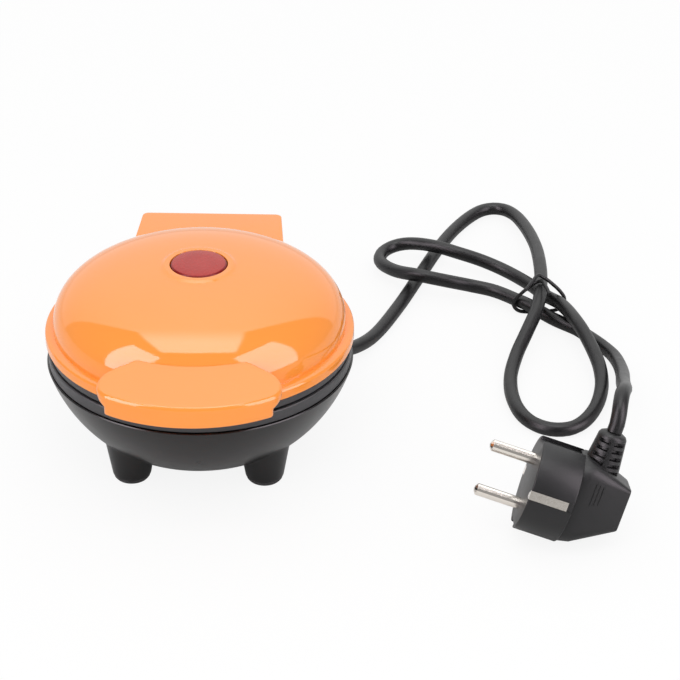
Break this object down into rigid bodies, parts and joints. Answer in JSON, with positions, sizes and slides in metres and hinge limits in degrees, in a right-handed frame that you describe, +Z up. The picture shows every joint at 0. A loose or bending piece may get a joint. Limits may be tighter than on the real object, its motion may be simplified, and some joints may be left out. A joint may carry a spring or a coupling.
{
  "type": "lava cake maker",
  "caption": "Round countertop cake maker with a domed hinged lid, a front handle, a red indicator lamp, four cups inside and a tied mains cord with an angled plug.",
  "frame": {"origin": "centre of the body's box, without its cord, in the plane that its feet stand on", "axes": "+Z up, -Y towards the handle, +Y towards the hinge, +X to the side that the cord leaves by"},
  "size_m": [0.2476, 0.2978, 0.086],
  "materials": {
    "black_gloss": "gloss",
    "orange_gloss": "gloss",
    "dark_grey": "satin",
    "nonstick": "satin",
    "rubber": "matte",
    "cord_black": "satin",
    "plug_black": "satin",
    "nickel": "polished",
    "steel": "satin",
    "aluminium": "satin",
    "red_lens": "gloss",
    "white_ceramic": "matte",
    "white_plastic": "satin",
    "sleeve_white": "matte",
    "lamp_glass": "clear"
  },
  "bodies": {
    "base": {"base_shell": "black_gloss", "base_ring": "dark_grey", "foot_pad_front_left": "rubber", "foot_pad_front_right": "rubber", "foot_pad_rear_left": "rubber", "foot_pad_rear_right": "rubber", "lower_plate": "nonstick", "base_screw_front": "steel", "base_screw_left": "steel", "base_screw_rear": "steel", "base_screw_right": "steel", "lower_heater": "steel", "lower_thermostat": "steel", "thermal_fuse": "white_ceramic", "terminal_block": "white_plastic", "cord_clamp": "white_plastic", "cord_gland": "cord_black", "mains_cord": "cord_black", "twist_tie": "cord_black", "plug_body": "plug_black", "plug_pin_upper": "nickel", "plug_pin_lower": "nickel", "earth_clip_front": "nickel", "earth_clip_rear": "nickel", "base_lead": "sleeve_white", "hinge_pin_left": "steel", "hinge_pin_right": "steel"},
    "lid": {"lid_shell": "orange_gloss", "lid_ring": "dark_grey", "upper_plate": "nonstick", "plate_screw_front": "steel", "plate_screw_left": "steel", "plate_screw_rear": "steel", "plate_screw_right": "steel", "upper_heater": "steel", "heat_shield": "aluminium", "lamp_lens": "red_lens", "lamp_holder": "white_plastic", "neon_lamp": "lamp_glass", "handle": "orange_gloss", "handle_screw_left": "steel", "handle_screw_right": "steel", "hinge_cover": "orange_gloss", "cover_screw_left": "steel", "cover_screw_right": "steel", "lid_lead": "sleeve_white"}
  },
  "joints": [
    {"name": "lid_hinge", "type": "hinge", "parent": "base", "child": "lid", "pos_m": [0, 0.07175, 0.0515], "axis": [-1, 0, 0], "range_deg": [0, 95]}
  ]
}
